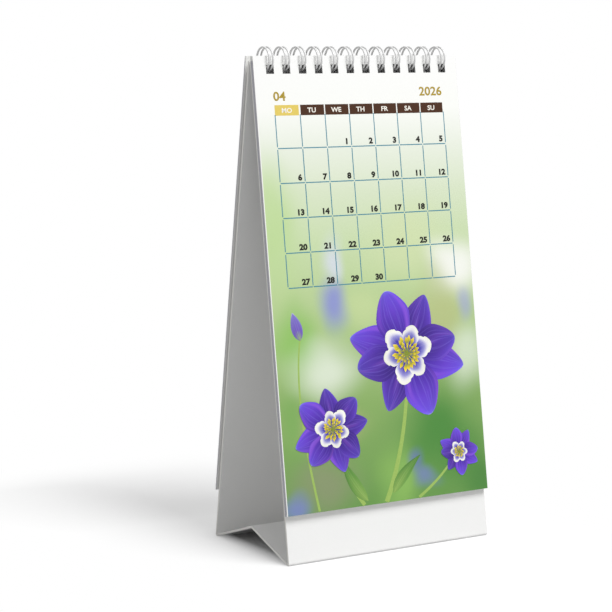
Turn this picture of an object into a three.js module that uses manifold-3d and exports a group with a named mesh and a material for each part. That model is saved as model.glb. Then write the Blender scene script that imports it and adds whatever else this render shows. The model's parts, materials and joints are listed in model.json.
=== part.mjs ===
// Upright desk calendar. Twelve month leaves hang on a twin-loop wire binding at the top of an easel of
// scored white card: two tall panels that stand like a roof, joined at the foot by a low ridged base.
// Millimetres, +Z up, the front faces -Y, the width runs along X, and the floor is at z = 0.
import * as THREE from "three";
import { mergeVertices } from "three/addons/utils/BufferGeometryUtils.js";
import Module from "manifold-3d";

const wasm = await Module();
wasm.setup();

// Easel of scored card
const cardThickness = 1.0;
const standWidth = 109;
const panelLength = 224; // from the binding's axis down to a foot crease
const cardDrop = 0.9; // from the binding's axis down to the top edge of the card
const baseDepth = 64.4; // from foot crease to foot crease
const ridgeRise = 9.33; // from the level of the foot creases up to the ridge crease
const creaseGap = 0.3; // between two faces that fold onto each other
const footFlat = 0.1; // depth to which a rounded foot is pressed flat
const ridgeReach = 8.2; // each side of the ridge that is the scored, bending strip

// Twin-loop wire binding, three holes to the inch
const loopPairs = 12;
const loopPitch = 25.4 / 3;
const wireDiameter = 0.9;
const ringRadius = 5.4; // to the middle of the wire
const twinSpacing = 2.0; // between the two wires of a pair
const linkCorner = 1.2; // bend radius where a loop turns into a link
const tipOverlap = 0.55; // how far a closed tip stays short of the links, middle to middle
const wireClearance = 0.25; // from a link to the card and the leaves beside it
const wireSeat = 1.1; // from the wire down to the lower edge of a hole

// Square holes, punched through the card and every leaf
const holeSize = 4.0;
const holeDrop = 6.05; // from a leaf's top edge to the middle of its holes

// Month leaves
const leafOverhang = 0.5; // how far a leaf stands out past the card on each side
const leafLength = 204;
const leafThickness = 0.15;
const leafAir = 0.05; // air between leaves that lie still
const turnAir = 0.3; // air under the outermost leaf, so that it clears the leaf below as it is turned
const frontLeafGap = 0.5; // from the front panel to the leaves before it
const backLeafGap = wireDiameter + 2 * wireClearance; // the links lie in this gap

// Facets
const sides = 6;
const ringSteps = 22;
const cornerSteps = 3;
const tipSteps = 6;
const footSteps = 6;

const months = [
  "january", "february", "march", "april", "may", "june",
  "july", "august", "september", "october", "november", "december",
];
const shownMonth = "april";

// Faces of the card, measured from the crease axes that it folds about
const innerFace = creaseGap / 2;
const outerFace = innerFace + cardThickness;

// Lean of the panels, length and lift of the base flaps, and heights that follow from them
const lean = Math.asin(baseDepth / 2 / panelLength);
const foldedStack = cardThickness + creaseGap;
const flapLength = Math.sqrt((baseDepth / 2) ** 2 + ridgeRise ** 2 - foldedStack ** 2);
const flapLift = Math.atan2(foldedStack, flapLength) + Math.atan2(ridgeRise, baseDepth / 2);
const footHeight = outerFace - footFlat;
const axisHeight = footHeight + panelLength * Math.cos(lean);

const leafWidth = standWidth + 2 * leafOverhang;

// The holes sit so that the wire runs through them a little below the middle
const holeLevel = ringRadius + wireDiameter / 2 + wireSeat - holeSize / 2;
const leafRise = holeDrop - holeLevel;

const white = 0xf2f2f0;
const card = new THREE.MeshStandardMaterial({ color: white, roughness: 0.55, metalness: 0 });
const wire = new THREE.MeshStandardMaterial({ color: 0xd9d9d9, roughness: 0.25, metalness: 0.9 });
const paper = new THREE.MeshStandardMaterial({ color: 0xf8f8f6, roughness: 0.5, metalness: 0 });
const printed = new THREE.MeshStandardMaterial({ color: 0x93a878, roughness: 0.45, metalness: 0 });

const holeMiddles = Array.from(
  { length: loopPairs },
  (_, k) => (k - (loopPairs - 1) / 2) * loopPitch
);

function mesh(name, geometry, material) {
  const piece = new THREE.Mesh(geometry, material.clone());
  piece.name = name;
  return piece;
}

// A closed geometry as a solid that can be cut
function solid(geometry) {
  const bare = geometry.index ? geometry.clone() : geometry;
  bare.deleteAttribute("normal");
  bare.deleteAttribute("uv");
  const welded = mergeVertices(bare, 1e-4);
  return new wasm.Manifold(
    new wasm.Mesh({
      numProp: 3,
      vertProperties: new Float32Array(welded.attributes.position.array),
      triVerts: new Uint32Array(welded.index.array),
    })
  );
}

// A hanging sheet with the square holes for the wire cut right through it
function punched(geometry) {
  let body = solid(geometry);
  for (const x of holeMiddles) {
    const punch = new THREE.BoxGeometry(holeSize, 4 * ringRadius, holeSize);
    punch.translate(x, 0, -holeLevel);
    body = body.subtract(solid(punch));
  }
  const cut = body.getMesh();
  const sheet = new THREE.BufferGeometry();
  sheet.setAttribute("position", new THREE.BufferAttribute(cut.vertProperties, 3));
  sheet.setIndex(new THREE.BufferAttribute(cut.triVerts, 1));
  sheet.computeVertexNormals();
  return sheet;
}

// A side profile, given as [y, z] points, drawn out along X about the middle
function alongX(outline, width) {
  const shape = new THREE.Shape(outline.map(([y, z]) => new THREE.Vector2(y, z)));
  const geometry = new THREE.ExtrudeGeometry(shape, { depth: width, bevelEnabled: false });
  geometry.translate(0, 0, -width / 2);
  const turn = new THREE.Matrix4().makeBasis(
    new THREE.Vector3(0, 1, 0),
    new THREE.Vector3(0, 0, 1),
    new THREE.Vector3(1, 0, 0)
  );
  return geometry.applyMatrix4(turn);
}

// One tall panel, hanging straight down from the binding's axis with its outer face towards -Y. Its lower
// end is the bend of the foot crease: it goes round the crease axis and ends just short of the base flap.
function panel(name) {
  const onBead = (radius, angle) => [
    radius * Math.sin(angle),
    -panelLength - radius * Math.cos(angle),
  ];
  const flatHalf = Math.acos(footHeight / outerFace);
  const beadStart = -Math.PI / 2;
  const beadEnd = Math.PI / 2 + lean + flapLift;
  const flatStart = lean - flatHalf;
  const flatEnd = lean + flatHalf;
  const outline = [[-innerFace, -cardDrop], [-outerFace, -cardDrop]];
  for (let step = 0; step <= footSteps; step++) {
    outline.push(onBead(outerFace, beadStart + ((flatStart - beadStart) * step) / footSteps));
  }
  for (let step = 0; step <= footSteps; step++) {
    outline.push(onBead(outerFace, flatEnd + ((beadEnd - flatEnd) * step) / footSteps));
  }
  outline.push(onBead(innerFace, beadEnd), [-innerFace, -panelLength]);
  return mesh(name, punched(alongX(outline, standWidth)), card);
}

// One leaf, its back at this distance out from the binding's axis
function leaf(name, distance, material) {
  const sheet = new THREE.BoxGeometry(leafWidth, leafThickness, leafLength);
  sheet.translate(0, -distance - leafThickness / 2, leafRise - leafLength / 2);
  return mesh(name, punched(sheet), material);
}

// A panel with its leaves on the outside. The first leaf named lies against the card.
function side(panelName, leafNames, gap) {
  const group = new THREE.Group();
  group.add(panel(panelName));
  const outermost = leafNames.length - 1;
  leafNames.forEach((month, place) => {
    const turns = place === outermost;
    const air = place * leafAir + (turns ? turnAir - leafAir : 0);
    const distance = outerFace + gap + place * leafThickness + air;
    group.add(leaf(`leaf_${month}`, distance, turns ? printed : paper));
  });
  group.rotation.x = -lean;
  return group;
}

// A stiff base flap, from its foot crease to the scored strip at the ridge
function flap(name) {
  const start = outerFace + creaseGap;
  const end = flapLength - ridgeReach;
  const plate = new THREE.BoxGeometry(standWidth, end - start, cardThickness);
  const piece = mesh(name, plate, card);
  piece.position.set(0, (start + end) / 2, -(innerFace + outerFace) / 2);
  const group = new THREE.Group();
  group.add(piece);
  group.rotation.x = flapLift;
  group.position.set(0, -baseDepth / 2, footHeight);
  return group;
}

// The scored strip in the middle of the base, bent over the ridge
function ridgeStrip(name) {
  const onFace = (along, face) => [
    -baseDepth / 2 + along * Math.cos(flapLift) + face * Math.sin(flapLift),
    footHeight + along * Math.sin(flapLift) - face * Math.cos(flapLift),
  ];
  const toMiddle = (face) => (baseDepth / 2 - face * Math.sin(flapLift)) / Math.cos(flapLift);
  const start = flapLength - ridgeReach + creaseGap;
  const front = [onFace(start, innerFace), onFace(start, outerFace)];
  const back = front.map(([y, z]) => [-y, z]).reverse();
  const under = onFace(toMiddle(outerFace), outerFace);
  const over = onFace(toMiddle(innerFace), innerFace);
  return mesh(name, alongX([...front, under, ...back, over], standWidth), card);
}

// The middle line of the wire, wrapped on a cylinder about the binding's axis. Each point is [x, angle],
// with the angle counted from straight down, up the front and over the top.
function wirePath() {
  const linkFace = outerFace + wireClearance + wireDiameter / 2;
  const linkAngle = -lean - Math.asin(linkFace / ringRadius);
  const half = twinSpacing / 2;
  const loopStart = linkAngle + linkCorner / ringRadius;
  const loopEnd = linkAngle + 2 * Math.PI - (tipOverlap + half) / ringRadius;
  const path = [];
  const corner = (x, towards, step) => {
    const turn = ((Math.PI / 2) * step) / cornerSteps;
    path.push([
      x + towards * linkCorner * (1 - Math.sin(turn)),
      loopStart - (linkCorner / ringRadius) * Math.cos(turn),
    ]);
  };
  for (const middle of holeMiddles) {
    for (let step = 0; step < cornerSteps; step++) {
      corner(middle - half, -1, step);
    }
    for (let step = 0; step < ringSteps; step++) {
      path.push([middle - half, loopStart + ((loopEnd - loopStart) * step) / ringSteps]);
    }
    for (let step = 0; step < tipSteps; step++) {
      const turn = (Math.PI * step) / tipSteps;
      path.push([middle - half * Math.cos(turn), loopEnd + (half / ringRadius) * Math.sin(turn)]);
    }
    for (let step = 0; step < ringSteps; step++) {
      path.push([middle + half, loopEnd + ((loopStart - loopEnd) * step) / ringSteps]);
    }
    for (let step = cornerSteps; step >= 0; step--) {
      corner(middle + half, 1, step);
    }
  }
  return path;
}

// The least space between stretches of the wire that don't follow each other directly
function leastGap(points) {
  const along = [0];
  for (let i = 1; i < points.length; i++) {
    along.push(along[i - 1] + points[i].distanceTo(points[i - 1]));
  }
  let least = Infinity;
  for (let i = 0; i < points.length; i++) {
    for (let j = i + 1; j < points.length; j++) {
      if (along[j] - along[i] > Math.PI * wireDiameter) {
        least = Math.min(least, points[i].distanceTo(points[j]));
      }
    }
  }
  return least - wireDiameter;
}

// The binding: one unbroken wire through all the holes. Each ring of facets lies across the wire, between
// the radial direction and the direction square to it and to the wire.
function binding(name) {
  const path = wirePath();
  const radial = path.map(([, a]) => new THREE.Vector3(0, -Math.sin(a), -Math.cos(a)));
  const points = path.map(([x], i) => radial[i].clone().multiplyScalar(ringRadius).setX(x));
  const positions = [];
  points.forEach((point, i) => {
    const before = points[Math.max(i - 1, 0)];
    const after = points[Math.min(i + 1, points.length - 1)];
    const tangent = after.clone().sub(before).normalize();
    const across = tangent.clone().cross(radial[i]).normalize();
    const out = across.clone().cross(tangent);
    for (let side = 0; side < sides; side++) {
      const turn = (2 * Math.PI * side) / sides;
      const corner = point
        .clone()
        .addScaledVector(out, (wireDiameter / 2) * Math.cos(turn))
        .addScaledVector(across, (wireDiameter / 2) * Math.sin(turn));
      positions.push(corner.x, corner.y, corner.z);
    }
  });
  const index = [];
  for (let i = 0; i + 1 < points.length; i++) {
    for (let side = 0; side < sides; side++) {
      const next = (side + 1) % sides;
      const [a, b] = [i * sides + side, i * sides + next];
      index.push(a, b, a + sides, b, b + sides, a + sides);
    }
  }
  const last = (points.length - 1) * sides;
  for (let side = 1; side + 1 < sides; side++) {
    index.push(0, side + 1, side, last, last + side, last + side + 1);
  }
  const geometry = new THREE.BufferGeometry();
  geometry.setAttribute("position", new THREE.Float32BufferAttribute(positions, 3));
  geometry.setIndex(index);
  geometry.computeVertexNormals();
  console.log(`wire: least gap to itself ${leastGap(points).toFixed(2)} mm`);
  return mesh(name, geometry, wire);
}

// Leaves that have been turned lie behind the easel, the latest outermost. The others wait before it.
const turned = months.slice(0, months.indexOf(shownMonth));
const waiting = months.slice(months.indexOf(shownMonth)).reverse();

const calendar = new THREE.Group();

const upper = new THREE.Group();
upper.position.z = axisHeight;
upper.add(side("front_panel", waiting, frontLeafGap));
const back = new THREE.Group();
back.rotation.z = Math.PI;
back.add(side("back_panel", turned, backLeafGap));
upper.add(back, binding("wire_binding"));

const base = new THREE.Group();
base.add(flap("base_front_flap"), ridgeStrip("ridge_crease"));
const backBase = new THREE.Group();
backBase.rotation.z = Math.PI;
backBase.add(flap("base_back_flap"));
base.add(backBase);

calendar.add(upper, base);

export default calendar;
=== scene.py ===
# %% [markdown]
# # An upright desk calendar
# A calendar of this kind is three simple things: an easel of scored white board, a stack of punched paper
# leaves, and one wire bent into double loops that holds them together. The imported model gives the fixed
# frame: how big each piece is, where it stands and what it turns about. This notebook dresses that frame.

# %% Load the fixed frame
import json
import math
import bmesh
import bpy
from mathutils import Euler, Matrix, Vector


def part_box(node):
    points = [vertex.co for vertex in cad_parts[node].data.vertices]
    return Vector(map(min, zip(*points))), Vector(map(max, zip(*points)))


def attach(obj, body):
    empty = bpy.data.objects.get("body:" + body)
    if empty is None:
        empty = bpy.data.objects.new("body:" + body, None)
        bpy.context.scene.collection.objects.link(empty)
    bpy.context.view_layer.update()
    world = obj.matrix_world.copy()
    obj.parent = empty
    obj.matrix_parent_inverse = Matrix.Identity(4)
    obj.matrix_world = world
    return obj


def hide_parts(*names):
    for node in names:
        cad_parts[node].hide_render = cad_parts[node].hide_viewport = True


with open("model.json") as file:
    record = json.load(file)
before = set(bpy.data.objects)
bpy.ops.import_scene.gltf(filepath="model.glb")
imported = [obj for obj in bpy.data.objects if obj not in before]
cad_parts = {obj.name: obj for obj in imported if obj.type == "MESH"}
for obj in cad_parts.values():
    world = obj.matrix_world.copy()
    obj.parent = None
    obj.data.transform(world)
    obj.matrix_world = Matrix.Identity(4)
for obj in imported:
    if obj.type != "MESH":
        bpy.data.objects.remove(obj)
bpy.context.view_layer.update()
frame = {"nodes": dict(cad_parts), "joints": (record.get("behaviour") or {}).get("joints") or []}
nodes = frame["nodes"]
joints = {joint["name"]: joint for joint in frame["joints"]}
MM = 0.001
print("nodes:", len(nodes), "joints:", len(joints))

# %% [markdown]
# ## Sizes that the finish follows
# The lean of the easel isn't typed in. It follows from two joints of the frame: the fold at the top, where
# the wire's axis runs, and the crease at the front foot.

# %% Read the lean and the axes from the frame
fold_axis = Vector(joints["easel_fold"]["pos_m"])
front_crease = Vector(joints["front_foot_crease"]["pos_m"])
lean = math.atan2(-front_crease.y, fold_axis.z - front_crease.z)
LEAF_LENGTH = 204 * MM
LEAF_THICKNESS = 0.15 * MM
BOARD_THICKNESS = 1.0 * MM
CREASE_GAP = 0.3 * MM
print("lean of the easel:", round(math.degrees(lean), 2), "degrees")

# %% [markdown]
# ## Node trees
# Materials and Geometry Nodes are both trees of nodes, so one small function serves both. It adds a node,
# sets its options and fills its inputs, each with a plain value or with a link from an earlier node.

# %% Add a node, and read a colour
def add_node(tree, kind, inputs=None, **options):
    """Adds a node. An input is a value, a node (its first output) or a pair of a node and an output."""
    node = tree.nodes.new(kind)
    for name, value in options.items():
        setattr(node, name, value)
    for key, value in (inputs or {}).items():
        if isinstance(key, int):
            socket = node.inputs[key]
        else:
            socket = next(s for s in node.inputs if s.enabled and s.name == key)
        if isinstance(value, bpy.types.Node):
            value = (value, None)
        if isinstance(value, tuple) and isinstance(value[0], bpy.types.Node):
            source, wanted = value
            outputs = [s for s in source.outputs if s.enabled and wanted in (None, s.name)]
            tree.links.new(outputs[0], socket)
        else:
            socket.default_value = value
    return node


def linear(hex_code):
    """An sRGB hex colour as the linear colour that a socket holds."""
    parts = [int(hex_code[i:i + 2], 16) / 255 for i in (1, 3, 5)]
    return [p / 12.92 if p <= 0.04045 else ((p + 0.055) / 1.055) ** 2.4 for p in parts] + [1.0]


def set_ramp(node, stops):
    """Sets a colour ramp's stops, each a position and a linear colour."""
    steps = node.color_ramp.elements
    while len(steps) < len(stops):
        steps.new(0.5)
    for step, (position, color) in zip(steps, stops):
        step.position = position
        step.color = color


def new_material(name):
    """An empty material and its tree."""
    material = bpy.data.materials.new(name)
    material.use_nodes = True
    material.node_tree.nodes.clear()
    return material, material.node_tree


def finish_material(tree, color, roughness, bump=None, **shader_values):
    """The last two nodes of every material here: the surface shader and the output."""
    inputs = {"Base Color": color, "Roughness": roughness}
    if bump:
        inputs["Normal"] = bump
    inputs.update({name.replace("_", " "): value for name, value in shader_values.items()})
    surface = add_node(tree, "ShaderNodeBsdfPrincipled", inputs)
    add_node(tree, "ShaderNodeOutputMaterial", {"Surface": surface})


# %% [markdown]
# ## Punched holes
# Twelve square holes run through the whole stack under its top edge, and the wire fills half of each. Little
# light gets into them, so their walls are painted an almost black shade. All three sheet materials share one
# small chain of nodes for this. It picks the walls by their height and by how they face, and leaves the
# sheets' faces as they are.

# %% Find the walls of the punched holes
# Between these two heights every wall that faces up, down or aside belongs to a hole
HOLE_LOW, HOLE_HIGH = 213.5 * MM, 221.6 * MM
# Painted shade for the walls of the holes, where little light gets in
HOLE_SHADE = "#34343a"
BOARD_HALF_WIDTH = 54.5 * MM
EDGE_MARGIN = 1 * MM
# A sheet's own faces point along Y by more than this share
SHEET_FACING = 0.7


def is_hole_wall(tree, place, axes):
    """1 on the walls of the holes, where the painted shade goes, and 0 on everything else."""
    facing = add_node(tree, "ShaderNodeSeparateXYZ", {"Vector": (place, "Normal")})
    toward = add_node(tree, "ShaderNodeMath", {0: (facing, "Y")}, operation="ABSOLUTE")
    tests = (
        add_node(tree, "ShaderNodeMath", {0: toward, 1: SHEET_FACING}, operation="LESS_THAN"),
        add_node(tree, "ShaderNodeMath", {0: (axes, "Z"), 1: HOLE_LOW}, operation="GREATER_THAN"),
        add_node(tree, "ShaderNodeMath", {0: (axes, "Z"), 1: HOLE_HIGH}, operation="LESS_THAN"),
    )
    outward = add_node(tree, "ShaderNodeMath", {0: (axes, "X")}, operation="ABSOLUTE")
    result = add_node(tree, "ShaderNodeMath", {0: outward, 1: BOARD_HALF_WIDTH - EDGE_MARGIN},
                      operation="LESS_THAN")
    for test in tests:
        result = add_node(tree, "ShaderNodeMath", {0: result, 1: test}, operation="MULTIPLY")
    return result


# %% [markdown]
# ## Coated white board
# The easel is folding boxboard, about 1 mm thick, white clay coating over bleached fibre. The coating is
# smooth and satin, with a very faint mottle from the fibre below. A guillotine leaves the two side edges
# bare, so there the fibre shows: a touch warmer and rougher. The side edges are found by how far out they
# lie along X. The real fibre is about 0.02 mm wide, too fine to show, so the mottle is drawn 0.5 mm wide.

# %% Make the board's material
BOARD_TONES = ("#efefee", "#f3f3f2")
CUT_FIBRE = "#f6f5f1"
BOARD_MOTTLE = 0.5 * MM


def make_board():
    board, tree = new_material("coated_boxboard")
    place = add_node(tree, "ShaderNodeTexCoord")
    mottle = add_node(tree, "ShaderNodeTexNoise",
                      {"Vector": (place, "Object"), "Scale": 1 / BOARD_MOTTLE, "Detail": 3.0})
    tone = add_node(tree, "ShaderNodeMix",
                    {"Factor": mottle, "A": linear(BOARD_TONES[0]), "B": linear(BOARD_TONES[1])},
                    data_type="RGBA")
    axes = add_node(tree, "ShaderNodeSeparateXYZ", {"Vector": (place, "Object")})
    outward = add_node(tree, "ShaderNodeMath", {0: (axes, "X")}, operation="ABSOLUTE")
    is_cut = add_node(tree, "ShaderNodeMath", {0: outward, 1: BOARD_HALF_WIDTH - 0.05 * MM},
                      operation="GREATER_THAN")
    color = add_node(tree, "ShaderNodeMix",
                     {"Factor": is_cut, "A": (tone, "Result"), "B": linear(CUT_FIBRE)}, data_type="RGBA")
    # Painted shade on the walls of the holes
    shaded = add_node(tree, "ShaderNodeMix",
                      {"Factor": is_hole_wall(tree, place, axes), "A": (color, "Result"),
                       "B": linear(HOLE_SHADE)}, data_type="RGBA")
    roughness = add_node(tree, "ShaderNodeMapRange", {"Value": is_cut, "To Min": 0.48, "To Max": 0.85})
    relief = add_node(tree, "ShaderNodeBump", {"Height": mottle, "Strength": 0.15, "Distance": 0.01 * MM})
    finish_material(tree, (shaded, "Result"), roughness, relief)
    return board


board_material = make_board()
for name in ("front_panel", "back_panel"):
    nodes[name].data.materials.clear()
    nodes[name].data.materials.append(board_material)
print("board on both panels")

# %% [markdown]
# ## Art paper
# The leaves are coated art paper of about 150 g. Its coating is whiter and a little glossier than the
# board's. It carries the same faint mottle, finer. Seen from the side, a stack of leaves lies in shade in
# the fine gaps between them, so below the top of the board its side edges are painted a grey-lilac shade.
# Above the board the light gets in between them, and there the stack is left as white as a sheet. All leaves
# share this where nothing is printed.

# %% Make the plain paper
PAPER_WHITE, PAPER_SHADE = "#f9f9f7", "#f4f4f2"
PAPER_GRAIN = 0.3
# Painted shade on the side edges of the stack, for the shade in the gaps between the leaves
STACK_SIDE_SHADE = "#bdbdc6"
LEAF_HALF_WIDTH = 55 * MM
BOARD_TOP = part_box("front_panel")[1].z


def is_shaded_stack_side(tree, axes):
    """1 where painted shade goes on the two side edges of a leaf, up to the top of the board, and 0 on the
    rest.
    """
    outward = add_node(tree, "ShaderNodeMath", {0: (axes, "X")}, operation="ABSOLUTE")
    beside = add_node(tree, "ShaderNodeMath", {0: outward, 1: LEAF_HALF_WIDTH - 0.02 * MM},
                      operation="GREATER_THAN")
    below = add_node(tree, "ShaderNodeMath", {0: (axes, "Z"), 1: BOARD_TOP}, operation="LESS_THAN")
    return add_node(tree, "ShaderNodeMath", {0: beside, 1: below}, operation="MULTIPLY")


def finish_paper(tree, place, color, roughness, relief, sheen=0.5):
    """Paints shade on the walls of the holes and on the stack's side, and ends the paper."""
    axes = add_node(tree, "ShaderNodeSeparateXYZ", {"Vector": (place, "Object")})
    # Painted shade on the stack's side edges, then on the walls of the holes
    side_shaded = add_node(tree, "ShaderNodeMix",
                     {"Factor": is_shaded_stack_side(tree, axes), "A": (color, "Result"),
                      "B": linear(STACK_SIDE_SHADE)}, data_type="RGBA")
    shaded = add_node(tree, "ShaderNodeMix",
                      {"Factor": is_hole_wall(tree, place, axes), "A": (side_shaded, "Result"),
                       "B": linear(HOLE_SHADE)}, data_type="RGBA")
    finish_material(tree, (shaded, "Result"), roughness, relief, Specular_IOR_Level=sheen)


def make_paper():
    paper, tree = new_material("coated_art_paper")
    place = add_node(tree, "ShaderNodeTexCoord")
    mottle = add_node(tree, "ShaderNodeTexNoise",
                      {"Vector": (place, "Object"), "Scale": 1 / (PAPER_GRAIN * MM), "Detail": 2.0})
    color = add_node(tree, "ShaderNodeMix",
                     {"Factor": mottle, "A": linear(PAPER_SHADE), "B": linear(PAPER_WHITE)},
                     data_type="RGBA")
    relief = add_node(tree, "ShaderNodeBump", {"Height": mottle, "Strength": 0.1, "Distance": 0.005 * MM})
    finish_paper(tree, place, color, 0.42, relief)
    return paper


paper_material = make_paper()
PRINTED_LEAVES = ("leaf_april", "leaf_may", "leaf_march")
for name, leaf in nodes.items():
    if name.startswith("leaf_") and name not in PRINTED_LEAVES:
        leaf.data.materials.clear()
        leaf.data.materials.append(paper_material)
print("plain paper on", len([name for name in nodes if name.startswith("leaf_")]) - len(PRINTED_LEAVES),
      "leaves")

# %% [markdown]
# ## Where a page lies
# Print is laid out on a page, in millimetres: X to the right of the middle, Y up from the top edge (so
# every place on the page has a negative Y), Z out of the printed face. One matrix takes that page to its
# leaf. In front the printed face looks outwards. A leaf that has been turned over the top lies behind the
# easel with its printed face against the board, so its page leans the other way.

# %% Work out each printed page's place
def page_place(node):
    low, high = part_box(node)
    in_front = low.y < -abs(high.y)
    if in_front:
        up = Vector((0, math.sin(lean), math.cos(lean)))
        top = Vector((0, low.y + LEAF_LENGTH * math.sin(lean), high.z))
    else:
        up = Vector((0, -math.sin(lean), math.cos(lean)))
        top = Vector((0, low.y, high.z - LEAF_THICKNESS * math.sin(lean)))
    across = Vector((1, 0, 0))
    turn = Matrix((across, up, across.cross(up))).transposed().to_4x4()
    return Matrix.Translation(top) @ turn @ Matrix.Scale(MM, 4)


pages = {name: page_place(name) for name in PRINTED_LEAVES}
print("top edge of the page on show, m:", [round(v, 4) for v in pages["leaf_april"].translation])

# %% [markdown]
# ## The picture's soft background
# The page fades from white at the top into a green that is far out of focus. Out of focus means that every
# shape is a soft round spot, so the background is one long ramp down the page with soft spots over it. A
# slow noise pushes the spots about by a few millimetres, so that none is a perfect oval. The spot is a
# node group, made once and used many times.

# %% Make the soft spot group
def make_soft_spot():
    group = bpy.data.node_groups.new("soft spot", "ShaderNodeTree")
    sockets = (("Place", "Vector"), ("Middle", "Vector"), ("Reach", "Vector"), ("Strength", "Float"),
               ("Spot", "Color"), ("Under", "Color"))
    for name, kind in sockets:
        group.interface.new_socket(name, in_out="INPUT", socket_type=f"NodeSocket{kind}")
    group.interface.new_socket("Color", in_out="OUTPUT", socket_type="NodeSocketColor")
    given = add_node(group, "NodeGroupInput")
    away = add_node(group, "ShaderNodeVectorMath", {0: (given, "Place"), 1: (given, "Middle")},
                    operation="SUBTRACT")
    scaled = add_node(group, "ShaderNodeVectorMath", {0: away, 1: (given, "Reach")}, operation="DIVIDE")
    distance = add_node(group, "ShaderNodeVectorMath", {0: scaled}, operation="LENGTH")
    fall = add_node(group, "ShaderNodeMapRange",
                    {"Value": (distance, "Value"), "From Min": 1.0, "From Max": 0.0},
                    interpolation_type="SMOOTHERSTEP")
    amount = add_node(group, "ShaderNodeMath", {0: fall, 1: (given, "Strength")}, operation="MULTIPLY")
    mixed = add_node(group, "ShaderNodeMix",
                     {"Factor": amount, "A": (given, "Under"), "B": (given, "Spot")}, data_type="RGBA")
    add_node(group, "NodeGroupOutput", {"Color": (mixed, "Result")})
    return group


soft_spot = make_soft_spot()
print("group:", soft_spot.name)

# %% Choose the greens of the page and the spots over them
PAGE_RAMP = (
    (0, "#f8f8f7"), (24, "#f7f8f4"), (42, "#e7eddf"), (62, "#d7e3c6"), (84, "#c8dbae"),
    (106, "#b9d097"), (130, "#a6c283"), (158, "#88ac63"), (204, "#67964b"),
)
# Each spot: X, Y, reach along X, reach along Y, colour, strength
PAGE_SPOTS = (
    (-52, -76, 26, 46, "#b9d791", 0.75), (20, -86, 40, 30, "#d3dfae", 0.6),
    (46, -99, 26, 22, "#f6f7f1", 0.95), (-44, -128, 20, 30, "#8cc060", 0.9),
    (-30, -141, 30, 20, "#e3ecda", 0.85), (34, -120, 22, 34, "#b7bf83", 0.75),
    (48, -140, 18, 24, "#dce8d2", 0.8), (-32, -168, 34, 18, "#bdb88c", 0.8),
    (30, -176, 40, 40, "#48873a", 0.95), (-48, -166, 14, 24, "#74a955", 0.8),
    (-34, -193, 34, 18, "#8a9470", 0.85), (6, -198, 16, 26, "#8dbb5e", 0.8),
    (50, -196, 20, 22, "#3f7d38", 0.7), (-6, -116, 20, 16, "#c9da9f", 0.6),
)
# Blossoms that are far out of focus
PAGE_HAZE = (
    (-50, -200, 9, 7, "#7a80cf", 0.7), (-22, -112, 11, 20, "#7f7fdc", 0.75),
    (16, -190, 9, 10, "#6a70be", 0.6), (21, -198, 12, 8, "#7a7fca", 0.6),
    (48, -116, 8, 12, "#9a9ce0", 0.5), (-23, -92, 9, 16, "#d9dcf2", 0.7),
)
# Bare paper along the left edge, in millimetres
TRIM_MARGIN = 0.45
# How far the spots are pushed about, and over what distance that changes, in millimetres
DRIFT, DRIFT_REACH = 18.0, 32
print("spots on the page:", len(PAGE_SPOTS) + len(PAGE_HAZE))


# %% Print the picture on three leaves
def make_printed_paper(name, place):
    """Art paper with the soft picture on the page's own side. Its cut edges and its back are plain.

    The trimming left a hair of unprinted paper along the left edge."""
    paper, tree = new_material(name)
    shift, turn, _ = place.decompose()
    position = add_node(tree, "ShaderNodeTexCoord")
    page = add_node(tree, "ShaderNodeMapping",
                    {"Vector": (position, "Object"), "Location": shift, "Rotation": turn.to_euler(),
                     "Scale": (MM, MM, MM)}, vector_type="TEXTURE")
    axes = add_node(tree, "ShaderNodeSeparateXYZ", {"Vector": page})
    length = LEAF_LENGTH / MM
    depth = add_node(tree, "ShaderNodeMath", {0: (axes, "Y"), 1: -1 / length}, operation="MULTIPLY")
    ramp = add_node(tree, "ShaderNodeValToRGB", {"Fac": depth})
    set_ramp(ramp, [(down / length, linear(color)) for down, color in PAGE_RAMP])
    drift = add_node(tree, "ShaderNodeTexNoise", {"Vector": page, "Scale": 1 / DRIFT_REACH, "Detail": 1.0})
    centred = add_node(tree, "ShaderNodeVectorMath", {0: (drift, "Color"), 1: (0.5, 0.5, 0.5)},
                       operation="SUBTRACT")
    push = add_node(tree, "ShaderNodeVectorMath", {0: centred, "Scale": DRIFT}, operation="SCALE")
    pushed = add_node(tree, "ShaderNodeVectorMath", {0: page, 1: push}, operation="ADD")
    flat = add_node(tree, "ShaderNodeVectorMath", {0: pushed, 1: (1, 1, 0)}, operation="MULTIPLY")
    under = (ramp, "Color")
    for x, y, reach_x, reach_y, color, strength in PAGE_SPOTS + PAGE_HAZE:
        spot = add_node(tree, "ShaderNodeGroup", node_tree=soft_spot)
        values = {"Middle": (x, y, 0), "Reach": (reach_x, reach_y, 1), "Strength": strength,
                  "Spot": linear(color)}
        for key, value in values.items():
            spot.inputs[key].default_value = value
        tree.links.new(flat.outputs["Vector"], spot.inputs["Place"])
        tree.links.new(under[0].outputs[under[1]], spot.inputs["Under"])
        under = (spot, "Color")
    faced = add_node(tree, "ShaderNodeMath", {0: (axes, "Z"), 1: -0.02}, operation="GREATER_THAN")
    trimmed = add_node(tree, "ShaderNodeMath", {0: (axes, "X"), 1: TRIM_MARGIN - LEAF_HALF_WIDTH / MM},
                       operation="GREATER_THAN")
    inside = add_node(tree, "ShaderNodeMath", {0: faced, 1: trimmed}, operation="MULTIPLY")
    color = add_node(tree, "ShaderNodeMix",
                     {"Factor": inside, "A": linear(PAPER_WHITE), "B": under}, data_type="RGBA")
    grain = add_node(tree, "ShaderNodeTexNoise", {"Vector": page, "Scale": 1 / PAPER_GRAIN, "Detail": 2.0})
    relief = add_node(tree, "ShaderNodeBump", {"Height": grain, "Strength": 0.1, "Distance": 0.005 * MM})
    finish_paper(tree, position, color, 0.38, relief, 0.3)
    return paper


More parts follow.
